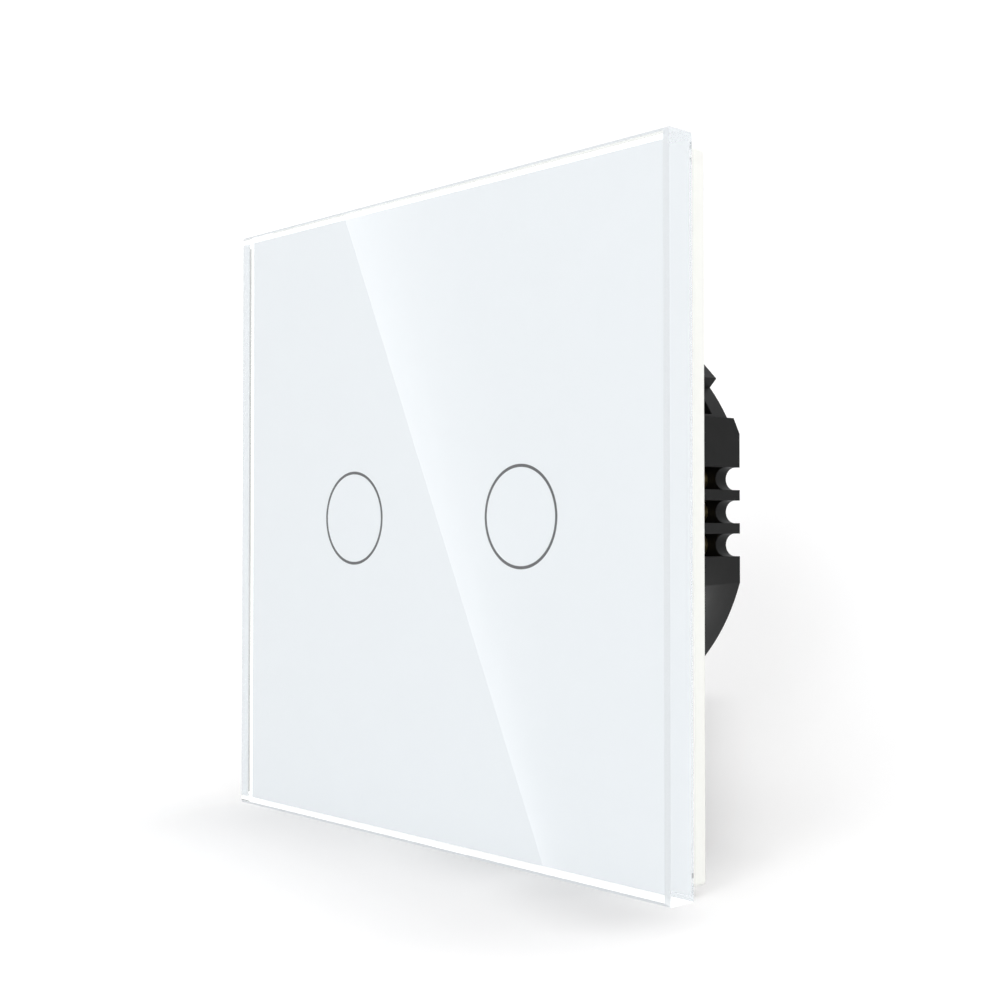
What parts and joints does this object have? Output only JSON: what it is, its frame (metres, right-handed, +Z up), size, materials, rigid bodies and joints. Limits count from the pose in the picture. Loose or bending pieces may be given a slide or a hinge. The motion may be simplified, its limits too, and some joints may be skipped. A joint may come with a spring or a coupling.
{
  "type": "touch light switch",
  "caption": "Square touch light switch with a white glass panel and printed touch rings, on a steel bracket and a round black wall-box body with side wire terminals.",
  "frame": {"origin": "middle of the mounting bracket's rear face, which lies on the wall's surface, in line with the pair of box screw slots left and right", "axes": "+X to the right as seen from the room, +Z up, +Y from the room into the wall; the glass front faces -Y"},
  "size_m": [0.08, 0.0315, 0.08],
  "materials": {
    "glass": "clear polished glass",
    "white_print": "white paint fired on the rear of the glass",
    "grey_print": "grey printed ring",
    "adhesive": "bonding tape",
    "white_plastic": "satin moulded plastic",
    "plated_steel": "zinc plated sheet",
    "black_plastic": "fine moulded texture",
    "screw_steel": "bright plated",
    "clear_plastic": "clear moulded plastic",
    "lamp": "small lamp body",
    "spring_steel": "bright wire",
    "circuit_board": "solder mask on glass fibre",
    "chip": "moulded resin",
    "tinned_brass": "tinned",
    "relay_plastic": "moulded cap",
    "relay_iron": "plated soft iron",
    "bobbin_plastic": "moulded spool",
    "copper": "copper",
    "film_case": "boxed resin",
    "can_sleeve": "shrink sleeve on an aluminium can",
    "varistor_coat": "dipped resin",
    "fuse_coat": "dipped resin",
    "terminal_brass": "plain brass"
  },
  "bodies": {
    "switch_body": {"mounting_bracket": "plated_steel", "base_housing": "black_plastic", "front_cover": "black_plastic", "housing_screws": "screw_steel", "light_guides": "clear_plastic", "indicator_leds": "lamp", "touch_springs": "spring_steel", "sensor_board": "circuit_board", "touch_controller": "chip", "chip_resistors": "chip", "header_body": "chip", "header_pins": "tinned_brass", "power_board": "circuit_board", "relay_cases": "relay_plastic", "relay_bases": "relay_plastic", "relay_yokes": "relay_iron", "relay_bobbins": "bobbin_plastic", "relay_windings": "copper", "relay_fixed_contacts": "tinned_brass", "terminal_bars": "copper", "film_capacitor": "film_case", "electrolytic_capacitors": "can_sleeve", "bridge_rectifier": "chip", "surge_varistor": "varistor_coat", "fuse": "fuse_coat"},
    "panel": {"glass_panel": "glass", "back_print": "white_print", "touch_rings": "grey_print", "adhesive_frame": "adhesive", "panel_carrier": "white_plastic"},
    "armature_left": {"relay_armature_left": "relay_iron", "relay_moving_contact_left": "tinned_brass"},
    "armature_right": {"relay_armature_right": "relay_iron", "relay_moving_contact_right": "tinned_brass"},
    "screw_1": {"terminal_screw_1": "screw_steel"},
    "clamp_1": {"terminal_clamp_1": "terminal_brass"},
    "screw_2": {"terminal_screw_2": "screw_steel"},
    "clamp_2": {"terminal_clamp_2": "terminal_brass"},
    "screw_3": {"terminal_screw_3": "screw_steel"},
    "clamp_3": {"terminal_clamp_3": "terminal_brass"}
  },
  "joints": [
    {"name": "panel_pull", "type": "slide", "parent": "switch_body", "child": "panel", "axis": [0, -1, 0], "range_m": [0, 0.012]},
    {"name": "armature_tilt_left", "type": "hinge", "parent": "switch_body", "child": "armature_left", "pos_m": [-0.0014, 0.01625, 0.00355], "axis": [1, 0, 0], "range_deg": [0, 4], "stiffness_Nm_per_rad": 0.002, "springref_deg": -5.73},
    {"name": "armature_tilt_right", "type": "hinge", "parent": "switch_body", "child": "armature_right", "pos_m": [0.0068, 0.01625, 0.00355], "axis": [1, 0, 0], "range_deg": [0, 4], "stiffness_Nm_per_rad": 0.002, "springref_deg": -5.73},
    {"name": "screw_turn_1", "type": "hinge", "parent": "switch_body", "child": "screw_1", "pos_m": [0.0194, 0.0212, -0.0034], "axis": [0, -1, 0], "range_deg": [0, 1601]},
    {"name": "clamp_rise_1", "type": "slide", "parent": "switch_body", "child": "clamp_1", "axis": [0, 1, 0], "range_m": [0, 0.002]},
    {"name": "screw_turn_2", "type": "hinge", "parent": "switch_body", "child": "screw_2", "pos_m": [0.0194, 0.0212, 0.0007], "axis": [0, -1, 0], "range_deg": [0, 1601]},
    {"name": "clamp_rise_2", "type": "slide", "parent": "switch_body", "child": "clamp_2", "axis": [0, 1, 0], "range_m": [0, 0.002]},
    {"name": "screw_turn_3", "type": "hinge", "parent": "switch_body", "child": "screw_3", "pos_m": [0.0194, 0.0212, 0.0048], "axis": [0, -1, 0], "range_deg": [0, 1601]},
    {"name": "clamp_rise_3", "type": "slide", "parent": "switch_body", "child": "clamp_3", "axis": [0, 1, 0], "range_m": [0, 0.002]}
  ],
  "couplings": [
    {"joint": "screw_turn_1", "follows": "clamp_rise_1", "rad_per_m": 13963},
    {"joint": "screw_turn_2", "follows": "clamp_rise_2", "rad_per_m": 13963},
    {"joint": "screw_turn_3", "follows": "clamp_rise_3", "rad_per_m": 13963}
  ]
}
